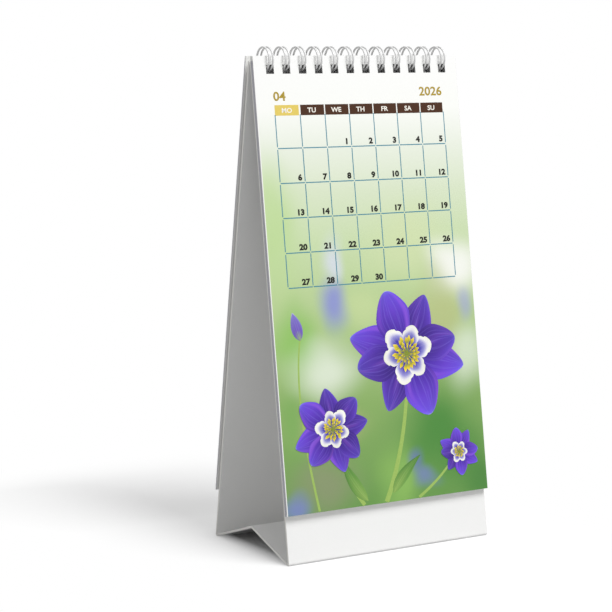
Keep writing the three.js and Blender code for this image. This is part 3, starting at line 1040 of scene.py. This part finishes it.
def base_half(name, side):
    """One half of the base. side is -1 in front and 1 behind."""
    crease = Vector((0, front_crease.y, front_crease.z))
    inner, outer = CREASE_GAP / 2, CREASE_GAP / 2 + BOARD_THICKNESS
    folded = BOARD_THICKNESS + CREASE_GAP
    length = math.sqrt(crease.y ** 2 + RIDGE_RISE ** 2 - folded ** 2)
    lift = math.atan2(folded, length) + math.atan2(RIDGE_RISE, -crease.y)
    along = Vector((0, math.cos(lift), math.sin(lift)))
    below = Vector((0, math.sin(lift), -math.cos(lift)))
    start = outer + FOOT_CLEARANCE
    to_ridge = [(-crease.y - RIDGE_SEAM - face * below.y) / along.y for face in (inner, outer)]
    outline = [
        crease + along * start + below * outer,
        crease + along * to_ridge[1] + below * outer,
        crease + along * to_ridge[0] + below * inner,
        crease + along * start + below * inner,
    ]
    shape = bmesh.new()
    ends = []
    for x in (-BOARD_HALF_WIDTH, BOARD_HALF_WIDTH):
        ends.append([shape.verts.new((x, -side * point.y, point.z)) for point in outline])
    for i in range(4):
        shape.faces.new([ends[0][i], ends[0][i - 1], ends[1][i - 1], ends[1][i]])
    for end in ends:
        shape.faces.new(end)
    bmesh.ops.recalc_face_normals(shape, faces=shape.faces)
    mesh = bpy.data.meshes.new(name)
    shape.to_mesh(mesh)
    shape.free()
    mesh.materials.append(board_material)
    piece = bpy.data.objects.new(name, mesh)
    bpy.context.scene.collection.objects.link(piece)
    edge = piece.modifiers.new("soft edge", "BEVEL")
    edge.width = SOFT_EDGE
    edge.segments = 2
    return piece


front_half = base_half("base_front_board", -1)
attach(front_half, "base_front")
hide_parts("base_front_flap", "ridge_crease")
back_half = base_half("base_back_board", 1)
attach(back_half, "base_back")
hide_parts("base_back_flap")
print("base boards:", front_half.name, "and", back_half.name)

# %% [markdown]
# ## Floor, light and camera
# The calendar stands on a white sweep. To the camera the world is white, and the floor is a white that
# takes the calendar's shadow and melts into the world further out. Near the calendar a painted white glow,
# seen only by the camera, lightens that shadow: the shadow is full under the base and half as deep next to
# it. It fades out quickly to the sides, deepens again behind the calendar, and is gone 19 cm away. One large
# soft lamp stands in front on the right, and the world fills in the rest. The camera has a long lens. It
# stands to the left, level with the top of the calendar, and looks slightly down.

# %% Tell what the camera sees from what only gives light
def seen_by_camera(tree):
    """1 for a ray from the camera, straight or by way of gloss or glass, and 0 for light on its way."""
    path = add_node(tree, "ShaderNodeLightPath")
    seen = add_node(tree, "ShaderNodeMath", {0: (path, "Is Camera Ray"), 1: (path, "Is Glossy Ray")},
                    operation="MAXIMUM")
    return add_node(tree, "ShaderNodeMath", {0: seen, 1: (path, "Is Transmission Ray")},
                    operation="MAXIMUM")


# %% Work out how white the floor is
# Where and how strongly the painted white glow lightens the floor's shadow
FADE_CORE = (47 * MM, 30 * MM, 0)
# How white the floor is at each distance from the core, in millimetres
NEAR_FADE = ((0, 0.0), (2, 0.07), (4, 0.16), (10, 0.37), (16, 0.44))
SIDE_FADE = 0.009 / MM
BACK_START, BACK_FADE = 68 * MM, 0.006 / MM
FAR_START, FAR_END = 130 * MM, 190 * MM


def floor_fade(tree):
    """0 where the floor shows all of its shadow, and 1 where the painted white glow has made it the white of
    the room.
    """
    place = add_node(tree, "ShaderNodeTexCoord")
    size = add_node(tree, "ShaderNodeVectorMath", {0: (place, "Object")}, operation="ABSOLUTE")
    past = add_node(tree, "ShaderNodeVectorMath",
                    {0: size, 1: FADE_CORE}, operation="SUBTRACT")
    outside = add_node(tree, "ShaderNodeVectorMath", {0: past, 1: (0, 0, 0)}, operation="MAXIMUM")
    distance = add_node(tree, "ShaderNodeVectorMath", {0: outside}, operation="LENGTH")
    reach = NEAR_FADE[-1][0]
    share = add_node(tree, "ShaderNodeMath", {0: (distance, "Value"), 1: reach * MM}, operation="DIVIDE")
    near = add_node(tree, "ShaderNodeValToRGB", {"Fac": share})
    set_ramp(near, [(away / reach, [level] * 3 + [1.0]) for away, level in NEAR_FADE])
    aside = add_node(tree, "ShaderNodeSeparateXYZ", {"Vector": outside})
    sides = add_node(tree, "ShaderNodeMath", {0: (aside, "X"), 1: SIDE_FADE, 2: (near, "Color")},
                     operation="MULTIPLY_ADD")
    axes = add_node(tree, "ShaderNodeSeparateXYZ", {"Vector": (place, "Object")})
    past_start = add_node(tree, "ShaderNodeMath", {0: (axes, "Y"), 1: BACK_START}, operation="SUBTRACT")
    behind = add_node(tree, "ShaderNodeMath", {0: past_start, 1: 0.0}, operation="MAXIMUM")
    close = add_node(tree, "ShaderNodeMath", {0: behind, 1: -BACK_FADE, 2: sides},
                     operation="MULTIPLY_ADD", use_clamp=True)
    far = add_node(tree, "ShaderNodeMapRange",
                   {"Value": (distance, "Value"), "From Min": FAR_START, "From Max": FAR_END},
                   interpolation_type="SMOOTHSTEP")
    return add_node(tree, "ShaderNodeMath", {0: close, 1: far}, operation="MAXIMUM")


# %% Lay the floor
FLOOR_SIZE = 6
FLOOR_WHITE = "#f4f4f4"
# The floor as the light sees it: darker, so that it throws less light up under the easel
FLOOR_BOUNCE = "#bebebe"


def make_floor():
    """A white floor. To the camera a painted white glow lightens its shadow and fades it into the white of
    the room as it leaves the calendar.
    """
    bpy.ops.mesh.primitive_plane_add(size=FLOOR_SIZE)
    floor = bpy.context.object
    floor.name = "floor"
    material, tree = new_material("white_sweep")
    shown = seen_by_camera(tree)
    color = add_node(tree, "ShaderNodeMix",
                     {"Factor": shown, "A": linear(FLOOR_BOUNCE), "B": linear(FLOOR_WHITE)},
                     data_type="RGBA")
    matt = add_node(tree, "ShaderNodeBsdfDiffuse", {"Color": (color, "Result")})
    # Painted white glow, seen only by the camera, mixed in by the fade to lighten the floor's shadow
    amount = add_node(tree, "ShaderNodeMath", {0: floor_fade(tree), 1: shown}, operation="MULTIPLY")
    white = add_node(tree, "ShaderNodeEmission", {"Color": linear("#ffffff"), "Strength": 1.0})
    both = add_node(tree, "ShaderNodeMixShader", {0: amount, 1: matt, 2: white})
    add_node(tree, "ShaderNodeOutputMaterial", {"Surface": both})
    floor.data.materials.append(material)
    return floor


make_floor()
print("floor:", FLOOR_SIZE, "m wide")

# %% Light the room
WORLD_LEVEL = 0.44
KEY_PLACE = (0.91, -2.03, 3.66)
KEY_AIM = (0, 0, 0.1)
KEY_SIZE = 2.0
KEY_WATTS = 159


def make_world():
    world = bpy.data.worlds.new("white room")
    bpy.context.scene.world = world
    world.use_nodes = True
    tree = world.node_tree
    tree.nodes.clear()
    level = add_node(tree, "ShaderNodeMapRange",
                     {"Value": seen_by_camera(tree), "To Min": WORLD_LEVEL, "To Max": 1.0})
    light = add_node(tree, "ShaderNodeBackground", {"Color": linear("#ffffff"), "Strength": level})
    add_node(tree, "ShaderNodeOutputWorld", {"Surface": light})


def area_lamp(name, place, aim, size, power):
    lamp = bpy.data.lights.new(name, "AREA")
    lamp.size = size
    lamp.energy = power
    holder = bpy.data.objects.new(name, lamp)
    holder.location = place
    holder.rotation_euler = (Vector(aim) - Vector(place)).to_track_quat("-Z", "Y").to_euler()
    bpy.context.scene.collection.objects.link(holder)


make_world()
area_lamp("key", KEY_PLACE, KEY_AIM, KEY_SIZE, KEY_WATTS)
print("lamp:", KEY_WATTS, "W")

# %% Set the camera
CAMERA_PLACE = Vector((-494.9, -763.0, 228.0)) * MM
CAMERA_HEADING = math.radians(31.62)
CAMERA_PITCH = math.radians(-7.46)
LENS_MM = 116.2
SENSOR_MM = 36


def make_camera():
    camera = bpy.data.cameras.new("camera")
    camera.lens = LENS_MM
    camera.sensor_width = SENSOR_MM
    holder = bpy.data.objects.new("camera", camera)
    holder.location = CAMERA_PLACE
    holder.rotation_euler = Euler((math.pi / 2 + CAMERA_PITCH, 0, -CAMERA_HEADING))
    bpy.context.scene.collection.objects.link(holder)
    bpy.context.scene.camera = holder


make_camera()
bpy.context.scene.view_settings.view_transform = "Standard"
print("camera:", LENS_MM, "mm lens,", round(CAMERA_PLACE.length, 2), "m away")
